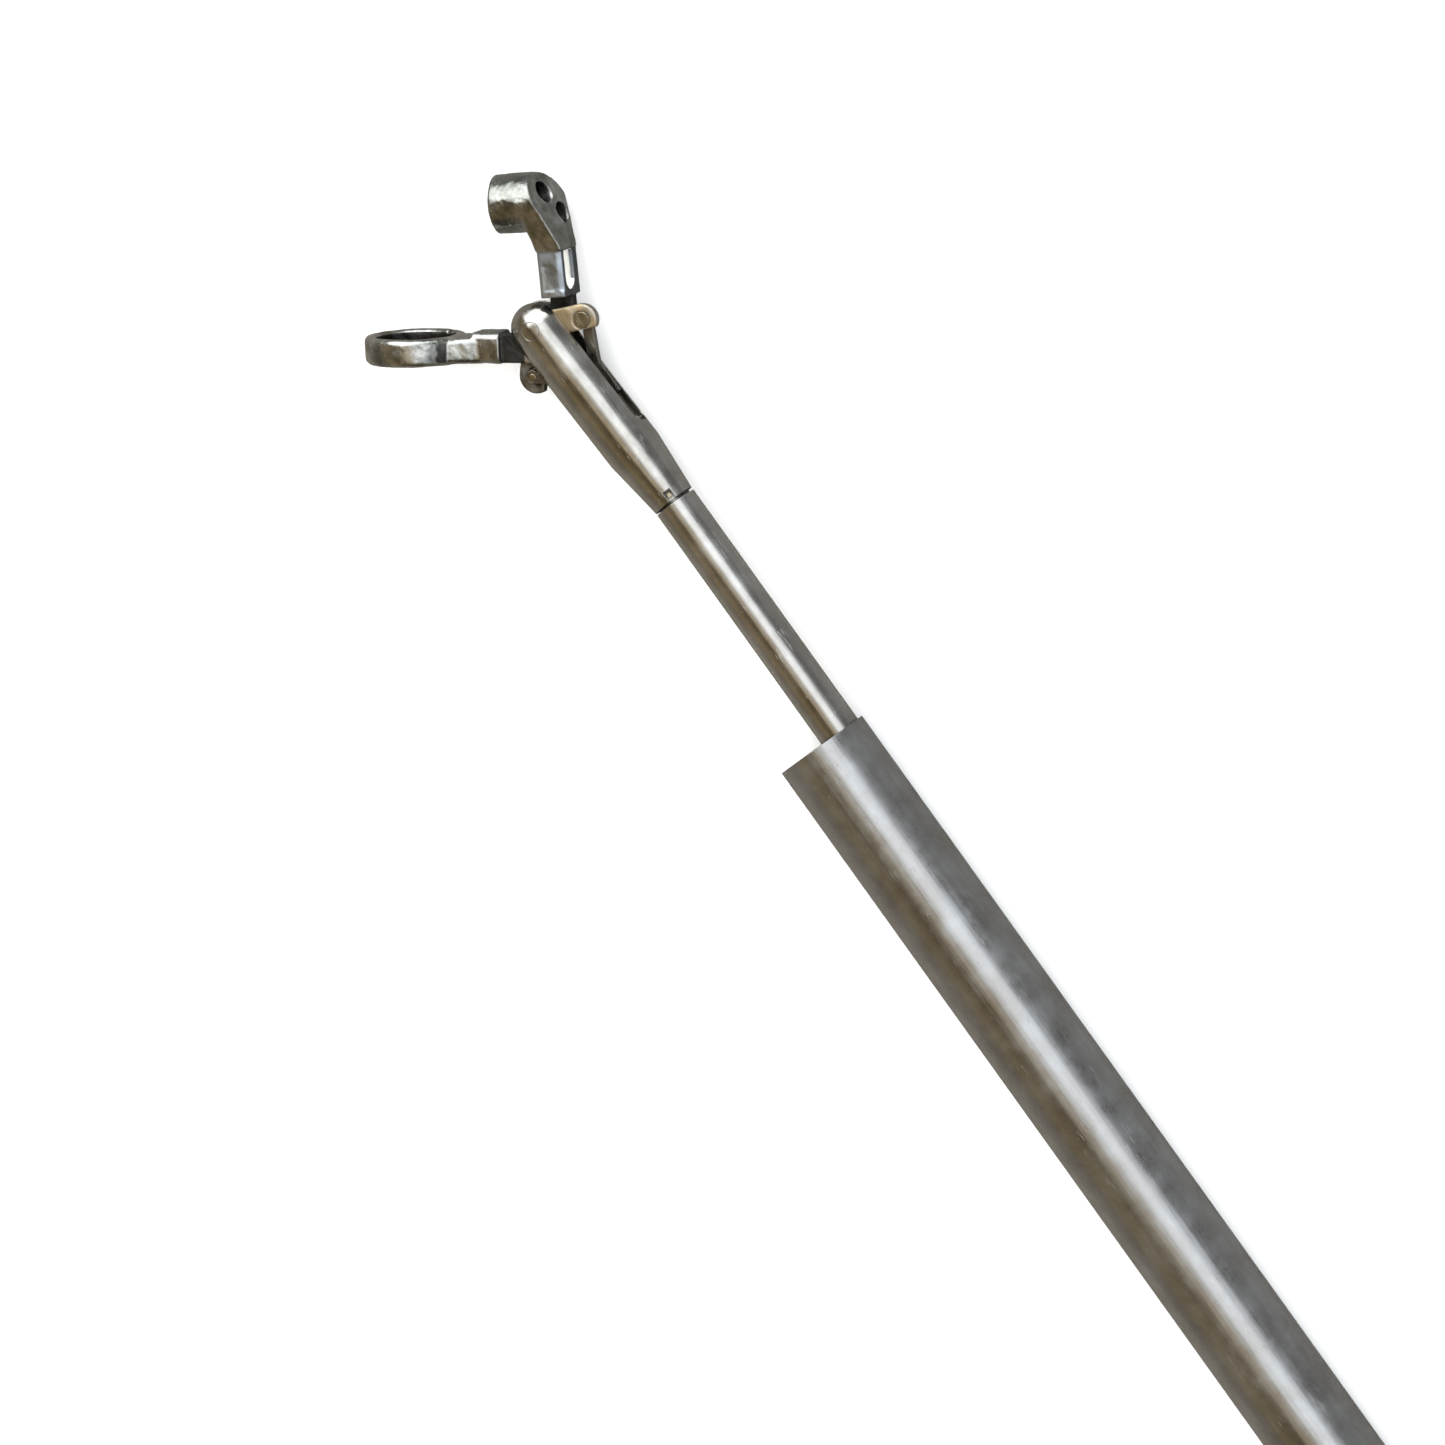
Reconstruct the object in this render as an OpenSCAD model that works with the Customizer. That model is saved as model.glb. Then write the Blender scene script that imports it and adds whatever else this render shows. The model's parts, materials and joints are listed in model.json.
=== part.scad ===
// Push-rod pickup tool: a ring jaw and a hook jaw with a magnet, worked by a three-ring handle.
// X runs along the tool with the jaws at -X, the jaws swing in the XY plane, and Z is up.
// The origin is the centre of the thumb ring. Lengths are in millimetres and angles in degrees.

/* [Tubes] */
// Outer diameter of the inner tube
inner_tube_d = 5; // [4.6:0.1:5.4]
// Wall thickness of the inner tube
inner_tube_wall = 0.5; // [0.4:0.05:0.6]
// Length of inner tube left bare between the clevis and the sleeve
bare_length = 31.5; // [20:0.5:60]
// Outer diameter of the sliding sleeve
sleeve_d = 11.1; // [10.9:0.1:12]
// Wall thickness of the sliding sleeve
sleeve_wall = 0.3; // [0.25:0.05:0.35]
// Length of the sliding sleeve
sleeve_length = 140; // [100:5:260]
// Sideways distance from the sleeve's axis to the inner tube's axis
tube_offset = 2.65; // [2.5:0.05:2.7]

/* [Clevis] */
// Diameter of the clevis
clevis_d = 6.5; // [6.2:0.1:7]
// Distance from the tube joint to the jaw pivot
clevis_length = 24.8; // [24:0.2:30]
// Angle by which the clevis leans away from the inner tube's axis
clevis_lean = 2.3; // [0:0.1:3]
// Length of the taper at the tube joint
clevis_taper = 7.5; // [5:0.5:9]
// Width of the slot that the jaws and links work in
slot_width = 2.6; // [2.6:0.05:2.7]
// Diameter of the jaw pivot pin
pivot_d = 2; // [1.6:0.1:2.4]

/* [Jaws] */
// Angle of each jaw from the closed position
jaw_opening = 43.1; // [20:0.1:43.1]
// Direction in which the closed jaws point, from the inner tube's axis
jaw_aim = 11; // [10:0.5:12]
// Length of each jaw's tail, from the pivot to the tail pin
tail_length = 5.5; // [5.4:0.1:5.6]
// Length of each link between its pins
link_length = 7.2; // [7.1:0.1:7.4]
// Distance from the pivot to the centre of the ring
ring_reach = 15; // [14.7:0.1:15.2]
// Diameter of the ring's hole
ring_hole_d = 8.8; // [8.6:0.1:9]
// Radial width of the ring
ring_band = 1.5; // [1.5:0.1:1.8]
// Thickness of the ring along its hole
ring_thickness = 3.3; // [2.8:0.1:3.6]
// Diameter of the hook's boss
boss_d = 6.8; // [6.6:0.1:7]
// Width of the ring jaw's shank across the slot
ring_shank_width = 4; // [3.4:0.1:4.4]
// Width of the hook jaw's shank across the slot
hook_shank_width = 5; // [4:0.1:5.4]

/* [Handle] */
// Outer diameter of the handle barrel
barrel_d = 9.8; // [9.6:0.1:10.4]
// Length of the handle barrel
barrel_length = 66; // [60:1:90]
// Inner diameter of the thumb ring
thumb_bore_d = 24; // [20:1:28]
// Inner diameter of each finger ring
finger_bore_d = 21; // [19:1:26]
// Radial width of the rings' bands
loop_band = 4.5; // [3.5:0.25:6]
// Height of the finger rings and of the slider between them
loop_height = 12.8; // [12:0.2:15]

/* [Hidden] */
$fn = 96;
facets = 32;             // of the shapes that hull() blends
steel = "silver";
bright_steel = "gainsboro";
dark_steel = "dimgray";

// Fits
running = 0.04;          // radial clearance of a turning pin
sliding = 0.05;          // radial clearance of a sliding fit
past = 1;                // how far a cutting shape runs past the faces it cuts

// Stations along X, from the thumb ring towards the jaws
stem_d = 5;
nut_flats = 8;
nut_length = 3;
plug_flange = 5;
plug_spigot = 9;
socket_length = 9;
socket_spigot = 8;
socket_depth = 7.5;      // how far the inner tube goes into the socket
thumb_outer_r = thumb_bore_d/2 + loop_band;
nut_gap = 0.6;
plug_gap = 0.1;
nut_x = -thumb_outer_r - nut_gap;
plug_x = nut_x - nut_length - plug_gap;
barrel_x = plug_x - plug_flange;
socket_x = barrel_x - barrel_length;
sleeve_gap = 0.3;
sleeve_x = socket_x - socket_length - sleeve_gap;
mouth_x = sleeve_x - sleeve_length;
joint_x = mouth_x - bare_length;
pivot_x = joint_x - clevis_length*cos(clevis_lean);
pivot_y = tube_offset - clevis_length*sin(clevis_lean);

// Bores and pins
inner_tube_r = inner_tube_d/2;
tube_bore_r = inner_tube_r - inner_tube_wall;
sleeve_bore_r = sleeve_d/2 - sleeve_wall;
barrel_r = barrel_d/2;
barrel_wall = 0.7;
barrel_bore_r = barrel_r - barrel_wall;
rod_r = 0.9;
rod_bore_r = 1.15;
pivot_r = pivot_d/2;
link_pin_r = 0.45;
tail_head_r = 0.95;
guide_r = 1;
guide_y = -3;
plug_pin_r = 0.75;
plug_pin_x = barrel_x - plug_spigot/2;

// Linkage: tails and links at rest, with the jaws open
closed_half_angle = 11.4;
open_half_angle = closed_half_angle + jaw_opening;
ring_tail_angle = jaw_aim + open_half_angle;
hook_tail_angle = jaw_aim - open_half_angle;
drive_distance = tail_length*cos(open_half_angle)
    + sqrt(pow(link_length, 2) - pow(tail_length*sin(open_half_angle), 2));
link_angle = asin(tail_length*sin(open_half_angle)/link_length);
drive_x = drive_distance*cos(jaw_aim);
drive_y = drive_distance*sin(jaw_aim);
rod_y = tube_offset - pivot_y;      // the rod's axis, seen from the pivot
ring_jaw_angle = 180 + jaw_aim + jaw_opening;
hook_jaw_angle = 180 + jaw_aim - jaw_opening;
tail_bend = 180 - closed_half_angle;    // from a jaw's forward direction to its tail

// Layers across the slot
half_slot = slot_width/2;
tongue_inner_z = 0.03;
tongue_outer_z = half_slot - 0.05;
link_inner_z = 0.3;
link_outer_z = half_slot - 0.1;
blade_half = 0.25;       // half the thickness of the yoke's blade
drive_eye_r = 1;
wide_eye_r = 1.15;
wide_eye_bore = 0.74;    // radius of the wide eye's hole

// Jaws
ring_shoulder = 4.3;     // where each shank begins, clear of the clevis nose
hook_shoulder = 3.5;
ring_outer_r = ring_hole_d/2 + ring_band;
ring_edge = 0.7;         // radius on the ring's long edges
ring_inner_face = 0.75;  // from the plane in which the closed jaws meet
ring_shank_face = 0.3;   // the ring's shank is a little thicker than the ring
face_step = 0.1;         // how far the shanks lie inside the ring's and the hook's outer faces
hook_shank = 3;          // thickness of the hook's shank, in from its back
boss_r = boss_d/2;
boss_reach = ring_reach - 0.9;
boss_mouth = 3.6;
hook_back = 4.5;
magnet_r = 2.6;
magnet_length = 2.5;
magnet_recess = 0.4;
magnet_pocket = 4.6;

// Handle
slider_length = 26;
slider_x = socket_x + 27;
hub_r = 7;
loop_edge = 1.8;         // radius on the finger rings' edges
pin_r = 1.5;
travel = 3.7;            // room for the slider's stroke
slot_gap = 0.3;          // left at each end of the barrel's slots
pin_x = slider_x + 2;
finger_y = hub_r + finger_bore_d/2 + 2;
slider_bore_r = barrel_r + sliding;
bush_length = 8;
bush_inset = 2;
rear_bush_length = 10;

// A cylinder along X that starts at x and runs in +X
module rod_along_x(x, length, r, y = 0)
    translate([x, y, 0])
        rotate([0, 90, 0])
            cylinder(h = length, r = r);

// Places a shape in the pivot's frame
module at_pivot()
    translate([pivot_x, pivot_y, 0])
        children();

// Places a shape with +X running forward from the joint along the clevis
module along_clevis()
    translate([joint_x, tube_offset, 0])
        rotate([0, 0, 180 + clevis_lean])
            children();

// A plate between two heights
module plate(low, high)
    translate([0, 0, low])
        linear_extrude(height = high - low)
            children();

// A rectangle with round corners, centred
module round_rect(width, height, r) {
    square([width - 2*r, height], center = true);
    square([width, height - 2*r], center = true);
    for (x = [-1, 1])
        for (y = [-1, 1])
            translate([x*(width/2 - r), y*(height/2 - r)])
                circle(r = r);
}

// A flat band bent into a ring about Z, with round edges
module band_ring(bore_r, band, height, edge)
    rotate_extrude()
        translate([bore_r + band/2, 0])
            round_rect(band, height, edge);

// ---- Head ----

// The clevis's outer shape: a taper, a round bar and a round nose
module clevis_bar() {
    seam = 0.3;          // left open at the tube's end
    rotate([0, 90, 0])
        rotate_extrude() {
            polygon([[0, seam], [inner_tube_r, seam], [clevis_d/2, clevis_taper],
                [clevis_d/2, clevis_length], [0, clevis_length]]);
            translate([0, clevis_length])
                intersection() {
                    circle(d = clevis_d);
                    square(clevis_d);
                }
        }
}

lock_turn = 20;          // of the lock pin and its notch, about the clevis's axis

module clevis() {
    slot_end = 9.4;
    spigot = 7;
    root = 1.5;          // how far the spigot runs into the clevis
    notch = [1.5, 0.9];
    notch_depth = 0.45;
    rod_bore_r = 1.35;
    rod_bore = [-17, 13];
    color(steel)
        difference() {
            union() {
                along_clevis()
                    clevis_bar();
                rod_along_x(joint_x - root, spigot + root, tube_bore_r, tube_offset);
            }
            along_clevis() {
                translate([slot_end + half_slot, -clevis_d, -half_slot])
                    cube([clevis_length, 2*clevis_d, slot_width]);
                translate([slot_end + half_slot, 0, 0])
                    rotate([90, 0, 0])
                        cylinder(h = 2*clevis_d, r = half_slot, center = true);
                rotate([lock_turn, 0, 0])
                    translate([0, -notch[1]/2, inner_tube_r - notch_depth])
                        cube([notch[0], notch[1], notch_depth + past]);
            }
            at_pivot()
                cylinder(h = 2*clevis_d, r = pivot_r, center = true);
            rod_along_x(joint_x + rod_bore[0], rod_bore[1] - rod_bore[0], rod_bore_r, tube_offset);
        }
}

// The lock pin that keys the clevis to the tube, seen in the notch of its rear rim
module clevis_lock_pin() {
    place = [0.95, 0, 1.5];
    color(bright_steel)
        along_clevis()
            rotate([lock_turn, 0, 0])
                translate(place)
                    cylinder(h = 0.65, r = 0.3);
}

// The pin's ends follow the round of the clevis, so that nothing stands proud
module jaw_pivot_pin()
    color(steel)
        intersection() {
            at_pivot()
                cylinder(h = 2*clevis_d, r = pivot_r, center = true);
            along_clevis()
                clevis_bar();
        }

// Outline of a jaw's tongue and tail. outer is +1 where the jaw's outer side is +Y
module tongue_outline(outer, shoulder, inner_edge, depth, lug_r) {
    hub = 2.6;
    inner_trim = 1.1;
    lap = 0.8;           // how far the tongue runs into the shank
    difference() {
        mirror([0, outer > 0 ? 0 : 1]) {
            circle(r = hub);
            translate([0, inner_edge])
                square([shoulder + lap, depth - inner_edge]);
            rotate(-tail_bend)
                translate([0, -inner_trim])
                    square([tail_length, lug_r + inner_trim]);
            rotate(-tail_bend)
                difference() {
                    translate([tail_length, 0])
                        circle(r = lug_r);
                    translate([tail_length - lug_r, -2*lug_r - inner_trim])
                        square(2*lug_r);
                }
        }
        circle(r = pivot_r + running);
        rotate(-outer*tail_bend)
            translate([tail_length, 0])
                circle(r = tail_head_r);
    }
}

// A shank's block, between two distances from the pivot, with round long edges
module shank_block(start, end, width, inner, outer, edge)
    translate([start, (inner + outer)/2, 0])
        rotate([0, 90, 0])
            linear_extrude(height = end - start)
                round_rect(width, outer - inner, edge);

module ring_jaw() {
    ring_y = ring_inner_face + ring_thickness/2;
    outer_face = ring_inner_face + ring_thickness - face_step;
    neck = 6.6;
    lap = 1;
    edge = 0.8;
    inner_edge = 0.5;
    lug_r = 1.8;
    nick = [0.5, 0.9, 3];
    nick_place = [ring_reach - 2.8, ring_inner_face, 1.5 - ring_outer_r];
    nick_turn = 35;
    color(steel)
        at_pivot()
            rotate([0, 0, ring_jaw_angle]) {
                plate(tongue_inner_z, tongue_outer_z)
                    tongue_outline(1, ring_shoulder, inner_edge, outer_face - face_step, lug_r);
                difference() {
                    union() {
                        shank_block(ring_shoulder, neck + lap, ring_shank_width, ring_shank_face,
                            outer_face, edge);
                        ring_neck(neck, ring_y, edge);
                        translate([ring_reach, ring_y, 0])
                            rotate([90, 0, 0])
                                band_ring(ring_hole_d/2, ring_band, ring_thickness, ring_edge);
                    }
                    translate([ring_reach, 0, 0])
                        rotate([90, 0, 0])
                            cylinder(h = 2*ring_outer_r, r = ring_hole_d/2, center = true);
                    // sighting nick on the rim's inner edge
                    translate(nick_place)
                        rotate([0, nick_turn, 0])
                            cube(nick, center = true);
                }
            }
}

// The neck that widens from the shank into the ring, rounder towards its flat faces
module ring_neck(neck, ring_y, edge) {
    root_x = ring_reach - 3.9;
    slab = 0.2;
    ease = 0.1;
    discs = [[1.3, 3.4], [0.5, 3], [0.1, 2.3]];    // what each is thinner by, and its radius
    hull() {
        translate([neck, ring_y, 0])
            rotate([0, 90, 0])
                linear_extrude(height = slab)
                    round_rect(ring_shank_width - ease, ring_thickness - ease, edge, $fn = facets);
        for (disc = discs)
            translate([root_x, ring_y, 0])
                rotate([90, 0, 0])
                    cylinder(h = ring_thickness - disc[0], r = disc[1], center = true, $fn = facets);
    }
}

module hook_jaw() {
    shank_end = 9;
    shank_edge = 0.3;
    inner_edge = 1.5;
    lug_r = 2;
    holes = [[1, 0.2], [-1.5, -1.4]];       // forward and up from the boss's centre
    hole_r = 1.15;
    hole_depth = hook_back + boss_mouth - magnet_pocket + 0.2;
    back_lean = 11;      // of the head's back, inwards from the shank's end
    corner_lean = 24;    // of the facet across the back's upper far corner
    corner_twist = 12.5;
    nose_r = 3;
    nose_x = boss_reach + boss_r - nose_r;
    nose_y = (nose_x - shank_end)*tan(back_lean) + nose_r/cos(back_lean) - hook_back;
    back_face = face_step - hook_back;
    color(steel)
        at_pivot()
            rotate([0, 0, hook_jaw_angle]) {
                plate(-tongue_outer_z, -tongue_inner_z)
                    tongue_outline(-1, hook_shoulder, inner_edge, -back_face - face_step, lug_r);
                difference() {
                    union() {
                        shank_block(hook_shoulder, shank_end, hook_shank_width, back_face,
                            back_face + hook_shank, shank_edge);
                        hook_neck(shank_end, back_face);
                        translate([boss_reach, 0, 0])
                            rotate([-90, 0, 0])
                                boss();
                    }
                    // pocket for the magnet
                    translate([boss_reach, boss_mouth - magnet_pocket, 0])
                        rotate([-90, 0, 0])
                            cylinder(h = magnet_pocket + past, r = magnet_r);
                    // two holes through the back, into the pocket
                    for (hole = holes)
                        translate([boss_reach + hole[0], -hook_back - past, hole[1]])
                            rotate([-90, 0, 0])
                                cylinder(h = hole_depth + past, r = hole_r);
                    // the head's back leans in, and is rounded off towards its far side
                    translate([shank_end, -hook_back, 0])
                        rotate([0, 0, back_lean])
                            translate([0, -boss_r, 0])
                                cube([4*boss_d, boss_d, 2*boss_d], center = true);
                    translate([shank_end, -hook_back, hook_shank_width/2])
                        rotate([-corner_twist, 0, corner_lean])
                            translate([0, -boss_r, 0])
                                cube([4*boss_d, boss_d, 4*boss_d], center = true);
                    translate([nose_x, nose_y, 0])
                        linear_extrude(height = 2*boss_d, center = true)
                            difference() {
                                translate([nose_r*sin(back_lean), -nose_r - past])
                                    square(nose_r + past);
                                circle(r = nose_r);
                            }
                    back_groove();
                    edge_cut(back_face);
                    side_recess(back_face);
                }
            }
}

// The hook's boss along Z, with an eased back edge and a fine edge at its mouth
module boss() {
    back_edge = 0.7;
    mouth_edge = 0.25;
    rotate_extrude() {
        polygon([[0, -hook_back], [boss_r - back_edge, -hook_back], [boss_r - back_edge, 0], [0, 0]]);
        translate([boss_r - back_edge, back_edge - hook_back])
            intersection() {
                circle(r = back_edge);
                translate([0, -back_edge])
                    square(back_edge);
            }
        polygon([[0, back_edge - hook_back], [boss_r, back_edge - hook_back],
            [boss_r, boss_mouth - mouth_edge], [boss_r - mouth_edge, boss_mouth], [0, boss_mouth]]);
    }
}

// The neck that swells from the hook's shank into its boss, with a flat back
module hook_neck(shank_end, back_face) {
    slab = 0.2;
    head_step = 0.1;     // the cast head is a little wider than the milled shank
    // each disc's distance in from the back, and how much smaller than the boss it is
    discs = [[0.1, 0.7], [0.5, 0.3], [0.9, 0.1], [4.2, 0.12]];
    hull() {
        translate([shank_end - slab, back_face + hook_shank/2, 0])
            cube([slab, hook_shank, hook_shank_width + 2*head_step], center = true);
        for (disc = discs)
            translate([boss_reach, disc[0] - hook_back, 0])
                rotate([-90, 0, 0])
                    cylinder(h = slab, r = boss_r - disc[1], $fn = 2*facets);
    }
}

shank_rim = 0.7;         // left between the hook's shoulder and what is milled into its shank

// A shallow rectangular recess in each side of the hook's shank
module side_recess(back_face) {
    recess = [3, 1.3, 0.16];
    off_centre = 0.3;
    for (side = [-1, 1])
        translate([hook_shoulder + shank_rim + recess[0]/2, back_face + hook_shank/2 + off_centre,
            side*hook_shank_width/2])
            cube(recess, center = true);
}

// The round-ended groove milled along the back of the hook's shank
module back_groove() {
    groove_r = 1.4;
    groove_z = 0.35;
    length = 3;
    depth = 0.7;
    translate([hook_shoulder + shank_rim + groove_r, -hook_back, groove_z])
        rotate([90, 0, 0]) {
            cylinder(h = 2*depth, r = groove_r, center = true);
            translate([length/2, 0, 0])
                cube([length, 2*groove_r, 2*depth], center = true);
        }
}

// A steep chamfer on the shank's upper back edge
module edge_cut(back_face) {
    down = 0.3;          // from the side
    in = 0.65;           // from the back
    length = 4.5;
    translate([hook_shoulder + shank_rim, back_face, hook_shank_width/2])
        rotate([0, 90, 0])
            linear_extrude(height = length)
                polygon([[-past, -past], [down, -past], [down, 0], [0, in], [-past, in]]);
}

// A tail pin: a wide head in the jaw's tail and a thin shank in the link. side is the jaw's layer
module tail_pin(angle, side)
    color(bright_steel)
        at_pivot()
            rotate([0, 0, angle])
                translate([tail_length, 0, 0])
                    mirror([0, 0, side > 0 ? 0 : 1]) {
                        translate([0, 0, tongue_inner_z])
                            cylinder(h = tongue_outer_z - tongue_inner_z, r = tail_head_r);
                        translate([0, 0, -link_outer_z])
                            cylinder(h = link_outer_z + tongue_inner_z, r = link_pin_r);
                    }

module ring_tail_pin() tail_pin(ring_tail_angle, 1);

module hook_tail_pin() tail_pin(hook_tail_angle, -1);

// A link from a tail pin back to the drive pin. The eye at the drive pin has its own bore
module link(tail_angle, lean, low, high, eye_r, eye_bore) {
    tail_eye_r = 0.85;
    half_width = 0.6;
    color(steel)
        at_pivot()
            rotate([0, 0, tail_angle])
                translate([tail_length, 0, 0])
                    rotate([0, 0, lean - tail_angle])
                        plate(low, high)
                            difference() {
                                union() {
                                    circle(r = tail_eye_r);
                                    translate([0, -half_width])
                                        square([link_length, 2*half_width]);
                                    translate([link_length, 0])
                                        circle(r = eye_r);
                                }
                                circle(r = link_pin_r + running);
                                translate([link_length, 0])
                                    circle(r = eye_bore);
                            }
}

module ring_link()
    link(ring_tail_angle, jaw_aim - link_angle, -link_outer_z, -link_inner_z, drive_eye_r,
        link_pin_r);

// The hook's link has the wide eye, because both links drive from one pin
module hook_link()
    link(hook_tail_angle, jaw_aim + link_angle, link_inner_z, link_outer_z, wide_eye_r,
        wide_eye_bore);

module drive_pin()
    color(bright_steel)
        at_pivot()
            translate([drive_x, drive_y, -link_outer_z])
                cylinder(h = 2*link_outer_z, r = link_pin_r);

module magnet()
    color(dark_steel)
        at_pivot()
            rotate([0, 0, hook_jaw_angle])
                translate([boss_reach, boss_mouth - magnet_recess - magnet_length, 0])
                    rotate([-90, 0, 0])
                        cylinder(h = magnet_length, r = magnet_r);

// ---- Tubes and rod ----

module inner_tube() {
    rear_x = socket_x - socket_length + socket_depth;
    color(steel)
        difference() {
            rod_along_x(joint_x, rear_x - joint_x, inner_tube_r, tube_offset);
            rod_along_x(joint_x - past, rear_x - joint_x + 2*past, tube_bore_r, tube_offset);
        }
}

rod_front = 11.6;        // from the pivot back to the front of the rod
rod_rear_x = pin_x - pin_r - 1;
rivet_x = rod_front + 1.9;
rivet_r = 0.35;
collar_r = 1.15;

// The rivet's line through the rod and the yoke, in the pivot's frame
module rivet_line(length)
    translate([rivet_x, rod_y, 0])
        cylinder(h = length, r = rivet_r, center = true);

module push_rod()
    color(bright_steel)
        difference() {
            rod_along_x(pivot_x + rod_front, rod_rear_x - pivot_x - rod_front, rod_r, tube_offset);
            at_pivot()
                rivet_line(4*collar_r);
        }

// A flat blade with the drive window, in front of a collar that holds the rod
module rod_yoke() {
    collar_length = 3.2;
    collar_lap = 0.8;    // over the blade
    window = [1.56, 1.76];
    window_rear = [0.52, 0.52];
    blade_front = 1.3;
    blade_side = 1.15;
    blade_end = rod_front - 0.6;
    blade_width = 3.7;
    color(steel)
        at_pivot()
            difference() {
                union() {
                    translate([drive_x - blade_front, rod_y - blade_side, -blade_half])
                        cube([blade_end - drive_x + blade_front, blade_width, 2*blade_half]);
                    rod_along_x(rod_front - collar_lap, collar_length + collar_lap, collar_r, rod_y);
                }
                translate([drive_x - window_rear[0], drive_y - window_rear[1], -past])
                    cube([window[0], window[1], 2*past]);
                rod_along_x(rod_front, collar_length + past, rod_r, rod_y);
                rivet_line(4*collar_r);
            }
}

module yoke_rivet()
    color(bright_steel)
        at_pivot()
            rivet_line(2*collar_r - 0.2);

// ---- Sliding sleeve ----

module outer_sleeve()
    color(steel)
        difference() {
            rod_along_x(mouth_x, sleeve_length, sleeve_d/2);
            rod_along_x(mouth_x - past, sleeve_length + 2*past, sleeve_bore_r);
        }

// A disc that guides the sleeve on the inner tube, open where the tube lies against the wall
module eccentric_bush(x, length) {
    mouth = 3.8;         // width of the opening
    difference() {
        rod_along_x(x, length, sleeve_bore_r);
        rod_along_x(x - past, length + 2*past, inner_tube_r + sliding, tube_offset);
        translate([x - past, tube_offset + past, -mouth/2])
            cube([length + 2*past, sleeve_d, mouth]);
    }
}

module front_bush()
    color(bright_steel)
        eccentric_bush(mouth_x + bush_inset, bush_length);

rear_bush_x = sleeve_x - 2*bush_inset - rear_bush_length;
pad_r = 1.1;
pad_lift = 0.4;          // of the pad's foot from the guide rod

module rear_bush()
    color(bright_steel)
        difference() {
            eccentric_bush(rear_bush_x, rear_bush_length);
            rod_along_x(rear_bush_x - past, rear_bush_length + 2*past, guide_r + sliding, guide_y);
            friction_pad_shape(0);
        }

// The pad lies along Y between the guide rod and the inner tube
module friction_pad_shape(gap)
    translate([rear_bush_x + rear_bush_length/2, guide_y + guide_r + pad_lift, 0])
        rotate([-90, 0, 0])
            cylinder(h = tube_offset - inner_tube_r - guide_y - guide_r - pad_lift - gap, r = pad_r);

module friction_pad()
    color("ivory")
        friction_pad_shape(0.02);

guide_length = 50;       // of the guide rod inside the sleeve
guide_root = 6;          // of the guide rod in the socket

// Keeps the eccentric sleeve from turning about the inner tube
module guide_rod()
    color(bright_steel)
        rod_along_x(sleeve_x - guide_length, guide_length + sleeve_gap + guide_root, guide_r, guide_y);

// ---- Handle ----

module tube_socket() {
    front_r = 5.9;
    flange_r = 6.4;
    rear_r = 5.2;
    front_edge = 0.5;
    rear_taper = 2.2;
    front_x = socket_x - socket_length;
    color(steel)
        difference() {
            union() {
                rotate([0, 90, 0])
                    rotate_extrude()
                        polygon([[0, front_x], [front_r, front_x], [flange_r, front_x + front_edge],
                            [flange_r, socket_x - rear_taper], [rear_r, socket_x], [0, socket_x]]);
                rod_along_x(socket_x, socket_spigot, barrel_bore_r);
            }
            rod_along_x(front_x - past, socket_depth + past, inner_tube_r, tube_offset);
            rod_along_x(front_x, socket_length + socket_spigot + past, rod_bore_r, tube_offset);
            rod_along_x(front_x - past, guide_root + 2*past, guide_r, guide_y);
            socket_screw_shape();
        }
}

socket_screw_x = socket_x - socket_length/2 - 0.5;
socket_screw_r = 1.25;
socket_screw_length = 1.15;

// The screw's line in the socket, from the inner tube outwards
module socket_screw_shape()
    translate([socket_screw_x, tube_offset + inner_tube_r, 0])
        rotate([-90, 0, 0])
            cylinder(h = socket_screw_length, r = socket_screw_r);

// A grub screw that clamps the inner tube in its socket
module socket_screw() {
    key_depth = 0.55;
    color(dark_steel)
        difference() {
            socket_screw_shape();
            translate([socket_screw_x, tube_offset + inner_tube_r + socket_screw_length - key_depth, 0])
                rotate([-90, 0, 0])
                    cylinder(h = past, r = socket_screw_r/2, $fn = 6);
        }
}

// The barrel's two slots let the cross pin move with the slider
module barrel()
    color(steel)
        difference() {
            rod_along_x(socket_x, barrel_length, barrel_r);
            rod_along_x(socket_x - past, barrel_length + 2*past, barrel_bore_r);
            translate([pin_x - pin_r - slot_gap, -barrel_d, -pin_r - sliding])
                cube([travel + 2*pin_r + 2*slot_gap, 2*barrel_d, 2*pin_r + 2*sliding]);
            plug_pin_line(2*barrel_d);
        }

module finger_slider() {
    groove_depth = 0.5;
    groove_pitch = 2.2;
    groove_width = 0.8;
    chamfer = 1;
    front_x = slider_x - slider_length/2;
    rear_x = slider_x + slider_length/2;
    color(steel)
        difference() {
            intersection() {
                rotate([0, 90, 0])
                    rotate_extrude()
                        polygon([[0, front_x], [hub_r - chamfer, front_x], [hub_r, front_x + chamfer],
                            [hub_r, rear_x - chamfer], [hub_r - chamfer, rear_x], [0, rear_x]]);
                translate([slider_x, 0, 0])
                    cube([2*slider_length, 4*hub_r, loop_height], center = true);
            }
            rod_along_x(slider_x - slider_length, 2*slider_length, slider_bore_r);
            cross_pin_line(4*hub_r);
            // grip grooves across the two flats
            for (i = [-4:4])
                for (side = [-1, 1])
                    translate([slider_x + i*groove_pitch, 0, side*loop_height/2])
                        cube([groove_width, 3*hub_r, groove_depth], center = true);
        }
}

// The cross pin's line through the slider and the piston
module cross_pin_line(length)
    translate([pin_x, 0, 0])
        rotate([90, 0, 0])
            cylinder(h = length, r = pin_r, center = true);

// A finger ring, cut to sit on the slider's round flank
module finger_ring(side)
    color(bright_steel)
        difference() {
            translate([slider_x, side*finger_y, 0])
                band_ring(finger_bore_d/2, loop_band, loop_height, loop_edge);
            rod_along_x(slider_x - slider_length, 2*slider_length, hub_r);
        }

module finger_ring_left() finger_ring(-1);

module finger_ring_right() finger_ring(1);

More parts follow.
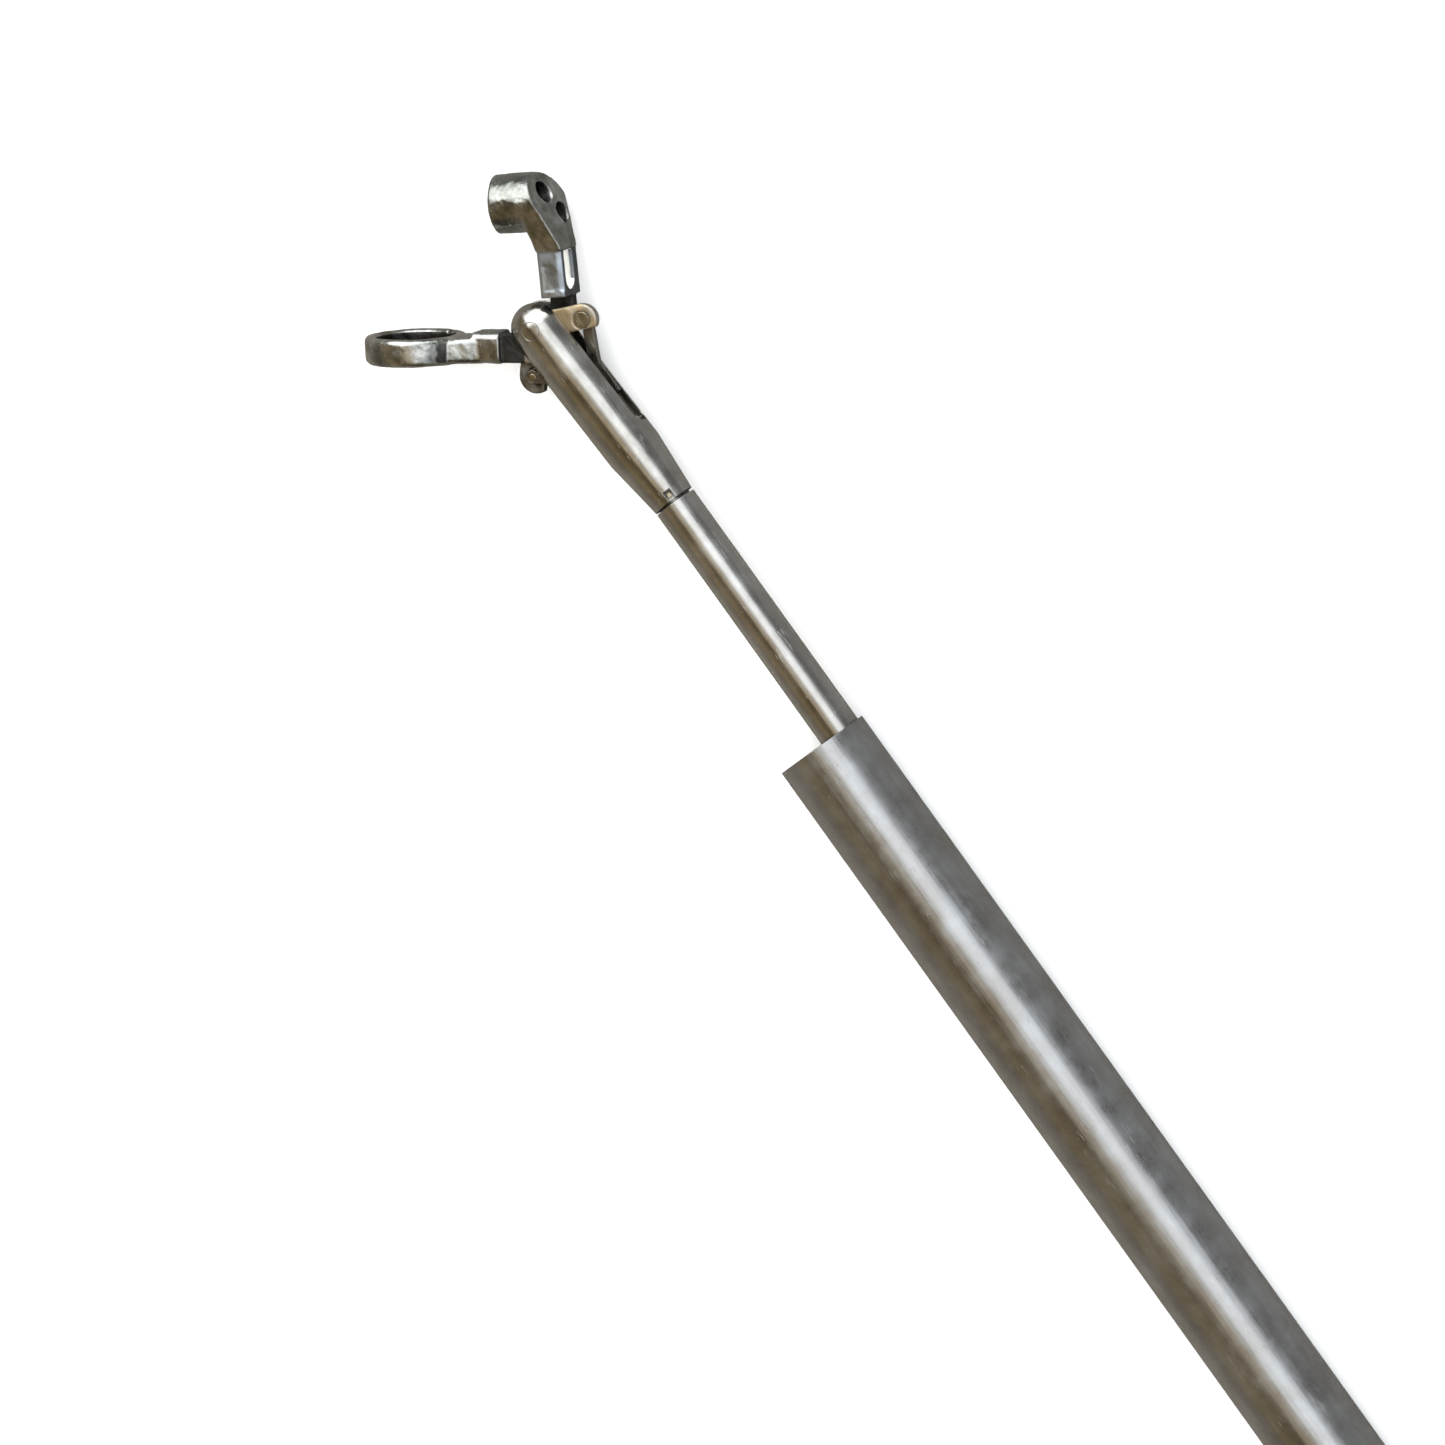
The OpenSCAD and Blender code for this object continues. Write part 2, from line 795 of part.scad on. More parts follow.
module cross_pin()
    color(bright_steel)
        cross_pin_line(2*hub_r - 0.6);

carrier_length = 18;
carrier_x = pin_x - 12;
carrier_screw_x = carrier_x + 4;
carrier_screw_r = 1;

// The carrier screw's line, from the push rod outwards
module carrier_screw_line(length)
    translate([carrier_screw_x, tube_offset - rod_r, 0])
        rotate([90, 0, 0])
            cylinder(h = length, r = carrier_screw_r);

// The piston inside the barrel that joins the rod to the cross pin
module rod_carrier()
    color(dark_steel)
        difference() {
            rod_along_x(carrier_x, carrier_length, barrel_bore_r - sliding);
            cross_pin_line(4*hub_r);
            rod_along_x(carrier_x - past, rod_rear_x - carrier_x + past, rod_r, tube_offset);
            carrier_screw_line(barrel_d);
        }

module carrier_screw() {
    length = 4;
    key_depth = 1.2;
    color(bright_steel)
        difference() {
            carrier_screw_line(length);
            translate([carrier_screw_x, tube_offset - rod_r - length + key_depth, 0])
                rotate([90, 0, 0])
                    cylinder(h = key_depth + past, r = carrier_screw_r/2, $fn = 6);
        }
}

// The line of the pin that holds the end plug and the thumb ring's stem
module plug_pin_line(length)
    translate([plug_pin_x, 0, 0])
        cylinder(h = length, r = plug_pin_r, center = true);

module end_plug() {
    flange_r = 6.4;
    chamfer = 0.8;
    rim_r = 5.4;
    knurls = 24;
    knurl = 0.5;
    color(steel)
        difference() {
            union() {
                rotate([0, 90, 0])
                    rotate_extrude()
                        polygon([[0, barrel_x], [rim_r, barrel_x], [flange_r, barrel_x + chamfer],
                            [flange_r, plug_x - chamfer], [rim_r, plug_x], [0, plug_x]]);
                rod_along_x(barrel_x - plug_spigot, plug_spigot, barrel_bore_r);
            }
            rod_along_x(stem_x - past, plug_x - stem_x + 2*past, stem_d/2);
            plug_pin_line(2*barrel_d);
            // knurl grooves around the flange
            for (i = [0:knurls - 1])
                rotate([i*360/knurls, 0, 0])
                    translate([(plug_x + barrel_x)/2, 0, flange_r + 0.1])
                        rotate([45, 0, 0])
                            cube([plug_flange + past, knurl, knurl], center = true);
        }
}

module end_plug_pin()
    color(bright_steel)
        plug_pin_line(barrel_d - 0.1);

module lock_nut()
    color(bright_steel)
        difference() {
            translate([nut_x - nut_length, 0, 0])
                rotate([0, 90, 0])
                    cylinder(h = nut_length, r = nut_flats/2/cos(30), $fn = 6);
            rod_along_x(nut_x - nut_length - past, nut_length + 2*past, stem_d/2);
        }

stem_x = barrel_x - plug_spigot;

module thumb_ring() {
    height = 12;
    stem_lap = 1.5;      // how far the stem stops short of the ring's bore
    color(bright_steel)
        difference() {
            union() {
                band_ring(thumb_bore_d/2, loop_band, height, loop_edge - 0.3);
                rod_along_x(stem_x, -thumb_bore_d/2 - stem_lap - stem_x, stem_d/2);
            }
            plug_pin_line(2*barrel_d);
        }
}

clevis();
clevis_lock_pin();
jaw_pivot_pin();
ring_jaw();
ring_tail_pin();
ring_link();
drive_pin();
hook_jaw();
hook_tail_pin();
hook_link();
magnet();
inner_tube();
push_rod();
rod_yoke();
yoke_rivet();
outer_sleeve();
front_bush();
rear_bush();
friction_pad();
guide_rod();
tube_socket();
socket_screw();
barrel();
finger_slider();
finger_ring_left();
finger_ring_right();
cross_pin();
rod_carrier();
carrier_screw();
end_plug();
end_plug_pin();
lock_nut();
thumb_ring();
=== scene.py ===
"""Looks for the push-rod magnetic pickup tool: steel finishes, cast skins on the jaws, light and camera."""
import json
import math

import bmesh
import bpy
from mathutils import Matrix, Vector, noise


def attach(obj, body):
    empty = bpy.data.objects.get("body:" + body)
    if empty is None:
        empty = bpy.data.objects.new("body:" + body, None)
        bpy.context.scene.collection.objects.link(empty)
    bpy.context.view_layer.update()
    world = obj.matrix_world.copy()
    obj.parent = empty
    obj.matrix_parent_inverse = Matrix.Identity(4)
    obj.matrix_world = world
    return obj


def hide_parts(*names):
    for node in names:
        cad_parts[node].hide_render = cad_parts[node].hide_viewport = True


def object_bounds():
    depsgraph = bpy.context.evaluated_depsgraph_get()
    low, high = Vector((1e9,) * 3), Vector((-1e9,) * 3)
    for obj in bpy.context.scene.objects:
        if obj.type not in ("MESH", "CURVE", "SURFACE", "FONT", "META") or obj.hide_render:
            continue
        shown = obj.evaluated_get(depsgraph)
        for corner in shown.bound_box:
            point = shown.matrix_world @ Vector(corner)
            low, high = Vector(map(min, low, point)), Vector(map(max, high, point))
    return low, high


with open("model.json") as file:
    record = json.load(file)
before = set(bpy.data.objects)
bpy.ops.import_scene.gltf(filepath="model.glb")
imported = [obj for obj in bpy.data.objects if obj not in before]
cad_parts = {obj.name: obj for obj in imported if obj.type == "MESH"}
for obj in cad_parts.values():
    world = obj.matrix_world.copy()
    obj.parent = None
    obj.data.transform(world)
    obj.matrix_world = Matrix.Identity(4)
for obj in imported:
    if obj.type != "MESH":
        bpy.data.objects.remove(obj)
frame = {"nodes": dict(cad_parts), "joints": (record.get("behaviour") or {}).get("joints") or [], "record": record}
cad_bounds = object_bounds()
nodes = frame["nodes"]
joints = {joint["name"]: joint for joint in frame["joints"]}

MM = 0.001
# Painted shade: the near-black that crevices, close-lying pieces and the shaded zones of the jaws are darkened to
PAINTED_SHADE_COLOUR = (0.012, 0.011, 0.010)
HEAT_TINT = (0.74, 0.60, 0.40)
MILLED_STEEL = (0.42, 0.46, 0.51)
GROOVE_HIGHLIGHT_COLOUR = (0.92, 0.91, 0.85)
# Painted highlight: the groove on the hook's back is painted this pale colour and made hardly metallic, for its
# lit wall
BRIGHT_SCRATCH = (0.78, 0.78, 0.77)
GROOVE_HIGHLIGHT_METALLIC = 0.1


# ---- Node helpers ----

class Shader:
    """A new material, with short calls for the nodes that the finishes share."""

    def __init__(self, name, metallic=1.0):
        self.material = bpy.data.materials.new(name)
        self.material.use_nodes = True
        self.tree = self.material.node_tree
        self.bsdf = self.tree.nodes["Principled BSDF"]
        self.bsdf.inputs["Metallic"].default_value = metallic
        coords = self.tree.nodes.new("ShaderNodeTexCoord")
        self.place = coords.outputs["Object"]

    def node(self, kind, **settings):
        made = self.tree.nodes.new("ShaderNode" + kind)
        for name, value in settings.items():
            setattr(made, name, value)
        return made

    def link(self, output, node, socket):
        self.tree.links.new(output, node.inputs[socket])

    def stretched(self, scale, turn=(0, 0, 0)):
        """Coordinates turned and then scaled, so that a texture runs long in one direction."""
        mapping = self.node("Mapping")
        mapping.inputs["Rotation"].default_value = turn
        mapping.inputs["Scale"].default_value = scale
        self.link(self.place, mapping, "Vector")
        return mapping.outputs["Vector"]

    def noise(self, place, scale, detail=3.0, roughness=0.5, distortion=0.0):
        made = self.node("TexNoise")
        made.inputs["Scale"].default_value = scale
        made.inputs["Detail"].default_value = detail
        made.inputs["Roughness"].default_value = roughness
        made.inputs["Distortion"].default_value = distortion
        self.link(place, made, "Vector")
        return made.outputs["Fac"]

    def between(self, value, low, high, to_low=0.0, to_high=1.0):
        """value from low..high to to_low..to_high, held at the ends."""
        made = self.node("MapRange")
        for name, number in (("From Min", low), ("From Max", high), ("To Min", to_low), ("To Max", to_high)):
            made.inputs[name].default_value = number
        self.link(value, made, "Value")
        return made.outputs["Result"]

    def maths(self, operation, a, b):
        made = self.node("Math", operation=operation)
        for socket, value in enumerate((a, b)):
            if isinstance(value, (int, float)):
                made.inputs[socket].default_value = value
            else:
                self.link(value, made, socket)
        return made.outputs[0]

    def tint(self, factor, low, high):
        """A colour between low and high."""
        made = self.node("Mix", data_type="RGBA")
        self.link(factor, made, "Factor")
        for socket, colour in ((6, low), (7, high)):
            if isinstance(colour, tuple):
                made.inputs[socket].default_value = (*colour, 1.0)
            else:
                self.link(colour, made, socket)
        return made.outputs[2]

    def bump(self, height, distance, strength=1.0, below=None):
        made = self.node("Bump")
        made.inputs["Strength"].default_value = strength
        made.inputs["Distance"].default_value = distance
        self.link(height, made, "Height")
        if below is not None:
            self.link(below, made, "Normal")
        return made.outputs["Normal"]

    def soft_edges(self, radius):
        made = self.node("Bevel")
        made.samples = 4
        made.inputs["Radius"].default_value = radius
        return made.outputs["Normal"]

    def crevice_shade(self, reach, full=0.35, none=0.8):
        """For painted shade: 1 in a crevice or where another piece lies close, 0 on an open face."""
        made = self.node("AmbientOcclusion")
        made.samples = 6
        made.inputs["Distance"].default_value = reach
        return self.between(made.outputs["AO"], full, none, 1.0, 0.0)

    def painted(self, name):
        """A value stored on the mesh by cast()."""
        return self.node("Attribute", attribute_name=name).outputs["Fac"]


# ---- Finishes ----

def steel(name, light, dark, gloss, grain_turn=(0, 0, 0), grain=1.0, dents=0.0, edge=0.12 * MM, zones=False):
    """Worn stainless steel. grain runs along X after grain_turn, gloss is the lowest and highest roughness,
    dents are the soft hollows of a tumbled casting, and edge is the radius that its edges are worn to.
    zones is for the jaws, where cast() has marked the heat-tinted tail, the milled shank, where painted shade
    goes and the groove painted pale as a highlight. Crevices and close-lying pieces darken as painted shade."""
    s = Shader(name)
    fine_grain = s.noise(s.stretched((40, 2600, 2600), grain_turn), 1.0, detail=5.0, roughness=0.65)
    stains = s.noise(s.place, 260.0, detail=4.0, roughness=0.6)
    mottle = s.noise(s.stretched((0.35, 1, 1), grain_turn), 1100.0, detail=4.0, roughness=0.6)
    streaks = s.noise(s.stretched((30, 900, 900), grain_turn), 1.0, detail=4.0, roughness=0.6)
    # scratches in two directions: thin crests of a stretched noise
    marks = None
    for turn in ((0.0, 0.3, 0.25), (0.2, -0.5, -0.35)):
        streak = s.noise(s.stretched((420, 9000, 9000), turn), 1.0, detail=1.0)
        crest = s.between(streak, 0.69, 0.73)
        patch = s.between(s.noise(s.place, 420.0, detail=1.0), 0.5, 0.62)
        crest = s.maths("MULTIPLY", crest, patch)
        marks = crest if marks is None else s.maths("MAXIMUM", marks, crest)
    # Painted shade: darker in crevices and where another piece lies close, a little varied by the mottle
    painted_shade = s.maths("MULTIPLY", s.crevice_shade(0.8 * MM), s.between(mottle, 0.25, 0.6, 0.75, 1.0))

    colour = s.tint(s.between(stains, 0.35, 0.68), dark, light)
    colour = s.tint(s.between(streaks, 0.42, 0.72, 0.0, 0.5), colour, dark)
    colour = s.tint(s.between(mottle, 0.4, 0.75, 0.0, 0.4), colour, dark)
    colour = s.tint(s.maths("MULTIPLY", marks, 0.3), colour, BRIGHT_SCRATCH)
    if zones:
        tail = s.painted("tail")
        milled = s.painted("milled")
        shaded_zone = s.painted("shaded_zone")
        worn = s.between(mottle, 0.4, 0.6, 0.3, 1.0)
        colour = s.tint(s.maths("MULTIPLY", tail, worn), colour, HEAT_TINT)
        colour = s.tint(s.maths("MULTIPLY", milled, worn), colour, MILLED_STEEL)
        # painted shade in the zones that cast() marked: the tongue, the ring's hole, the hook's back and tail lug
        painted_shade = s.maths("MAXIMUM", painted_shade, s.maths("MULTIPLY", shaded_zone, s.between(mottle, 0.3, 0.7, 1.0, 0.85)))
        # Painted shade deep in the wider hollows of the jaws, such as the ring's hole
        deep_shade = s.crevice_shade(6.0 * MM, 0.25, 0.62)
        painted_shade = s.maths("MAXIMUM", painted_shade, s.maths("MULTIPLY", deep_shade, 0.9))
        # painted highlight: the groove on the hook's back is painted pale and loses its painted shade
        pale = s.maths("MULTIPLY", s.painted("pale"), s.between(mottle, 0.2, 0.5, 0.75, 1.0))
        painted_shade = s.maths("MULTIPLY", painted_shade, s.between(pale, 0.0, 1.0, 1.0, 0.0))
        colour = s.tint(pale, colour, GROOVE_HIGHLIGHT_COLOUR)
        s.link(s.between(pale, 0.0, 1.0, 1.0, GROOVE_HIGHLIGHT_METALLIC), s.bsdf, "Metallic")
    # the painted shade darkens the colour towards near-black
    colour = s.tint(painted_shade, colour, PAINTED_SHADE_COLOUR)
    s.link(colour, s.bsdf, "Base Color")

    rough = s.between(stains, 0.3, 0.7, gloss[0], gloss[1])
    rough = s.maths("ADD", rough, s.between(fine_grain, 0.35, 0.7, -0.03, 0.05))
    rough = s.maths("ADD", rough, s.maths("MULTIPLY", marks, 0.18))
    rough = s.maths("ADD", rough, s.maths("MULTIPLY", painted_shade, 0.3))
    if zones:
        rough = s.maths("ADD", rough, s.maths("MULTIPLY", s.maths("MAXIMUM", tail, milled), 0.22))
    s.link(rough, s.bsdf, "Roughness")

    normal = s.soft_edges(edge)
    if dents > 0:
        hollows = s.noise(s.place, 380.0, detail=1.5, distortion=0.3)
        normal = s.bump(hollows, 2.2 * dents, below=normal)
        pits = s.noise(s.place, 1500.0, detail=3.0, roughness=0.6)
        normal = s.bump(pits, 0.3 * dents, below=normal)
    normal = s.bump(streaks, 0.02 * MM * grain, below=normal)
    normal = s.bump(fine_grain, 0.006 * MM * grain, below=normal)
    normal = s.bump(marks, -0.006 * MM, below=normal)
    s.link(normal, s.bsdf, "Normal")
    return s.material


def blackened(name):
    """Oil-blackened steel that has worn through to grey at its high spots."""
    s = Shader(name)
    wear = s.between(s.noise(s.place, 900.0, detail=4.0, roughness=0.7), 0.55, 0.72)
    s.link(s.tint(wear, (0.045, 0.045, 0.05), (0.30, 0.29, 0.28)), s.bsdf, "Base Color")
    s.link(s.between(wear, 0.0, 1.0, 0.42, 0.26), s.bsdf, "Roughness")
    s.link(s.bump(wear, 0.006 * MM, below=s.soft_edges(0.1 * MM)), s.bsdf, "Normal")
    return s.material


def brass(name):
    """Turned brass with tool rings across the axis and a brown tarnish."""
    s = Shader(name)
    rings = s.noise(s.stretched((5000, 60, 60)), 1.0, detail=2.0)
    tarnish = s.between(s.noise(s.place, 500.0, detail=4.0), 0.4, 0.7)
    s.link(s.tint(tarnish, (0.72, 0.54, 0.24), (0.36, 0.24, 0.11)), s.bsdf, "Base Color")
    s.link(s.between(tarnish, 0.0, 1.0, 0.24, 0.42), s.bsdf, "Roughness")
    s.link(s.bump(rings, 0.004 * MM, below=s.soft_edges(0.1 * MM)), s.bsdf, "Normal")
    return s.material


def nylon(name):
    """Natural nylon: cloudy, slightly yellow, with a faint moulded grain."""
    s = Shader(name, metallic=0.0)
    cloud = s.noise(s.place, 700.0, detail=3.0)
    s.link(s.tint(cloud, (0.78, 0.75, 0.64), (0.86, 0.85, 0.78)), s.bsdf, "Base Color")
    s.link(s.between(cloud, 0.3, 0.7, 0.38, 0.52), s.bsdf, "Roughness")
    s.bsdf.inputs["Subsurface Weight"].default_value = 0.1
    s.bsdf.inputs["Subsurface Radius"].default_value = (0.6 * MM, 0.5 * MM, 0.4 * MM)
    s.link(s.bump(s.noise(s.place, 4000.0), 0.004 * MM), s.bsdf, "Normal")
    return s.material


def nickel(name):
    """Bright nickel plate with a few pinholes and a faint yellow cast."""
    s = Shader(name)
    pits = s.between(s.noise(s.place, 2600.0, detail=2.0), 0.68, 0.74)
    cloud = s.noise(s.place, 600.0)
    s.link(s.tint(s.maths("MAXIMUM", pits, s.between(cloud, 0.4, 0.8, 0.0, 0.5)),
                  (0.70, 0.67, 0.60), (0.34, 0.31, 0.27)), s.bsdf, "Base Color")
    s.link(s.between(cloud, 0.3, 0.7, 0.10, 0.22), s.bsdf, "Roughness")
    s.link(s.bump(pits, -0.01 * MM, below=s.soft_edges(0.15 * MM)), s.bsdf, "Normal")
    return s.material


FINISHES = {
    "clevis_steel": steel("clevis_steel", (0.72, 0.71, 0.68), (0.46, 0.44, 0.40), (0.12, 0.24),
                          edge=0.2 * MM),
    "jaw_steel": steel("jaw_steel", (0.86, 0.86, 0.84), (0.24, 0.245, 0.22), (0.12, 0.28),
                       grain_turn=(0, 0, math.radians(35)), grain=0.4, dents=0.11 * MM, edge=0.3 * MM,
                       zones=True),
    "link_steel": steel("link_steel", (0.50, 0.48, 0.45), (0.26, 0.24, 0.21), (0.22, 0.38)),
    "pin_steel": steel("pin_steel", (0.78, 0.70, 0.56), (0.50, 0.42, 0.30), (0.18, 0.32),
                       grain_turn=(0, math.radians(90), 0), edge=0.2 * MM),
    "inner_tube_steel": steel("inner_tube_steel", (0.70, 0.69, 0.67), (0.50, 0.48, 0.45), (0.17, 0.28)),
    "sleeve_steel": steel("sleeve_steel", (0.57, 0.585, 0.60), (0.42, 0.41, 0.40), (0.24, 0.36), grain=1.6),
    "handle_steel": steel("handle_steel", (0.58, 0.58, 0.58), (0.38, 0.37, 0.36), (0.24, 0.38),
                          grain_turn=(0, 0, math.radians(90)), grain=1.4),
    "ring_steel": steel("ring_steel", (0.62, 0.62, 0.61), (0.44, 0.43, 0.42), (0.18, 0.30),
                        grain_turn=(0, math.radians(90), 0), edge=0.4 * MM),
    "screw_steel": blackened("screw_steel"),
    "magnet_plating": nickel("magnet_plating"),
    "bush_brass": brass("bush_brass"),
    "pad_plastic": nylon("pad_plastic"),
}


def dress_cad():
    """Gives each CAD node the finish of its slot."""
    for part in frame["record"]["subparts"]:
        cad = nodes[part["node"]]
        cad.data.materials.clear()
        cad.data.materials.append(FINISHES[part["material_slot"]])


dress_cad()


# ---- Cast skins ----

# Places are in millimetres from the jaw's pivot, ahead along the jaw, to its side, or up. angle is the way
# the jaw points at rest, turned from +X. The tongue in the clevis ends at the shoulder, and the hollows of
# the casting start at cast_from. tail_tint and the value after it are how strong the heat tint and the
# painted shade on the lug at its tail are
JAWS = {
    "ring_jaw": {"angle": 234.1, "shoulder": 4.25, "cast_from": 4.8, "milled": (0.0, 0.0),
                 "tail_tint": 1.0, "tail_shade": 0.0},
    "hook_jaw": {"angle": 147.9, "shoulder": 3.45, "cast_from": 8.6, "milled": (3.45, 8.72),
                 "tail_tint": 0.3, "tail_shade": 0.55},
}
TAIL_END = 1.5           # ahead: behind this is the lug
TAIL_FADE_FROM = 1.6     # ahead: the heat tint starts here and is full TAIL_FADE further back
TAIL_FADE = 0.6
RING_REACH = 15.0        # from the pivot to the centre of the ring
# Painted shade in the ring's hole reaches this far from its centre
RING_SHADE_R = 4.5        # just over the radius of the ring's hole
RING_SHADE_TO = 3.7       # to the side: the painted shade in the hole stops short of the ring's outer face
HOOK_BACK = -4.28        # to the side: just inside the hook's back face
# Painted shade on the hook's back face
BACK_SHADE = 0.7
GROOVE_AHEAD = (4.2, 8.75)
GROOVE_UP = (-1.0, 1.7)
GROOVE_FLOOR = -3.6      # to the side: about where the floor of the groove in that face lies
CAST_FADE = 1.2          # over this length the hollows grow to their full depth
BROAD_HOLLOWS = 0.55     # how closely the noise for the hollows is packed, to a millimetre
FINE_HOLLOWS = 1.9
BROAD_SHARE = 0.75       # of the depth
VOXEL = 0.1
WELD = 0.0005            # corners closer than this are one corner


def held(low, value, high):
    return min(high, max(low, value))


def is_milled(node, ahead):
    start, end = JAWS[node]["milled"]
    return start < ahead < end


def in_groove(node, ahead, aside, up):
    """Whether a place lies in the groove on the hook's back."""
    along = GROOVE_AHEAD[0] < ahead < GROOVE_AHEAD[1]
    level = GROOVE_UP[0] < up < GROOVE_UP[1]
    return node == "hook_jaw" and along and level and HOOK_BACK < aside < GROOVE_FLOOR


def zone_shade(node, ahead, aside, up):
    """How much painted shade a place gets: fully on the tongue and in the ring's hole, mostly on the hook's back.
    """
    if ahead < TAIL_END:
        return JAWS[node]["tail_shade"]
    if ahead < JAWS[node]["shoulder"]:
        return 1.0
    if node == "ring_jaw":
        in_hole = math.hypot(ahead - RING_REACH, up) < RING_SHADE_R and aside < RING_SHADE_TO
        return 1.0 if in_hole else 0.0
    return BACK_SHADE if is_milled(node, ahead) and aside < HOOK_BACK else 0.0


def remeshed(node, passes):
    """A new piece with the node's shape in millimetres, in small even quads, smoothed a number of times."""
    source = nodes[node]
    welded = bmesh.new()
    welded.from_mesh(source.data)
    welded.transform(Matrix.Scale(1 / MM, 4) @ source.matrix_world)
    bmesh.ops.remove_doubles(welded, verts=welded.verts, dist=WELD)
    start = bpy.data.meshes.new(node + "_cast")
    welded.to_mesh(start)
    welded.free()
    piece = bpy.data.objects.new(node + "_cast", start)
    bpy.context.scene.collection.objects.link(piece)
    skin = piece.modifiers.new("skin", "REMESH")
    skin.mode = "VOXEL"
    skin.voxel_size = VOXEL
    smooth = piece.modifiers.new("smooth", "SMOOTH")
    smooth.iterations = passes
    bpy.context.view_layer.update()
    shaped = piece.evaluated_get(bpy.context.evaluated_depsgraph_get())
    mesh = bpy.data.meshes.new_from_object(shaped)
    piece.modifiers.clear()
    piece.data = mesh
    return piece


def cast(node, body, melt, depth, seed):
    """A copy of a jaw with the soft edges and shallow hollows of a tumbled casting, in place of its CAD node.
    melt is how many passes of smoothing its edges get, and depth is how deep the hollows go. The part that is
    milled and the tongue that works in the clevis get no hollows. The hollows only go inwards. The tail, the
    milled shank, the painted shade and the pale painted highlight in the groove are stored on the mesh, for the
    finish."""
    piece = remeshed(node, melt)
    mesh = piece.data
    jaw = JAWS[node]
    pivot = Vector(joints[node + "_pivot"]["pos_m"]) / MM
    to_jaw = Matrix.Rotation(-math.radians(jaw["angle"]), 3, "Z")
    places = []
    marks = {"tail": [], "milled": [], "shaded_zone": [], "pale": []}
    normals = [vertex.normal.copy() for vertex in mesh.vertices]
    for vertex, normal in zip(mesh.vertices, normals):
        place = vertex.co.copy()
        ahead, aside, up = to_jaw @ (place - pivot)
        marks["tail"].append(jaw["tail_tint"] * held(0.0, (TAIL_FADE_FROM - ahead) / TAIL_FADE, 1.0))
        marks["milled"].append(1.0 if is_milled(node, ahead) else 0.0)
        # painted shade: on the tongue in the clevis, in the ring's hole, on the hook's back and on the tail lug
        marks["shaded_zone"].append(zone_shade(node, ahead, aside, up))
        # painted highlight: the groove on the hook's back
        marks["pale"].append(1.0 if in_groove(node, ahead, aside, up) else 0.0)
        cast_part = held(0.0, (ahead - jaw["cast_from"]) / CAST_FADE, 1.0)
        if cast_part > 0:
            sample = place + Vector((seed, 0, 0))
            broad = 0.5 + 0.5 * noise.noise(sample * BROAD_HOLLOWS)
            fine = 0.5 + 0.5 * noise.noise(sample * FINE_HOLLOWS)
            place -= normal * depth * cast_part * (BROAD_SHARE * broad + (1 - BROAD_SHARE) * fine)
        places.extend(place)
    mesh.vertices.foreach_set("co", places)
    for name, values in marks.items():
        mesh.attributes.new(name, "FLOAT", "POINT").data.foreach_set("value", values)
    mesh.transform(Matrix.Scale(MM, 4))
    mesh.shade_smooth()
    mesh.materials.clear()
    mesh.materials.append(FINISHES["jaw_steel"])
    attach(piece, body)
    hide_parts(node)


cast("ring_jaw", body="ring_jaw", melt=7, depth=0.14, seed=3.0)
cast("hook_jaw", body="hook_jaw", melt=4, depth=0.14, seed=11.0)


# ---- Light, floor and camera ----

def make_floor():
    """A pale matt floor just under the tool. In reflections it is dimmer and warmer, like a bench below."""
    low = cad_bounds[0][2]
    bpy.ops.mesh.primitive_plane_add(size=6, location=(-0.2, 0, low - 0.0001))
    floor = bpy.context.object
    floor.name = "floor"
    s = Shader("floor_paint", metallic=0.0)
    grain = s.noise(s.place, 40.0, detail=4.0)
    pale = s.tint(grain, (0.90, 0.90, 0.90), (0.93, 0.93, 0.93))
    split = s.node("SeparateXYZ")
    s.link(s.place, split, "Vector")
    side = s.between(split.outputs["Y"], -0.03, 0.03)
    bench = s.tint(side, (0.17, 0.155, 0.13), (0.13, 0.13, 0.13))
    path = s.node("LightPath")
    s.link(s.tint(path.outputs["Is Glossy Ray"], pale, bench), s.bsdf, "Base Color")
    s.bsdf.inputs["Roughness"].default_value = 0.9
    s.bsdf.inputs["Specular IOR Level"].default_value = 0.0
    floor.data.materials.append(s.material)


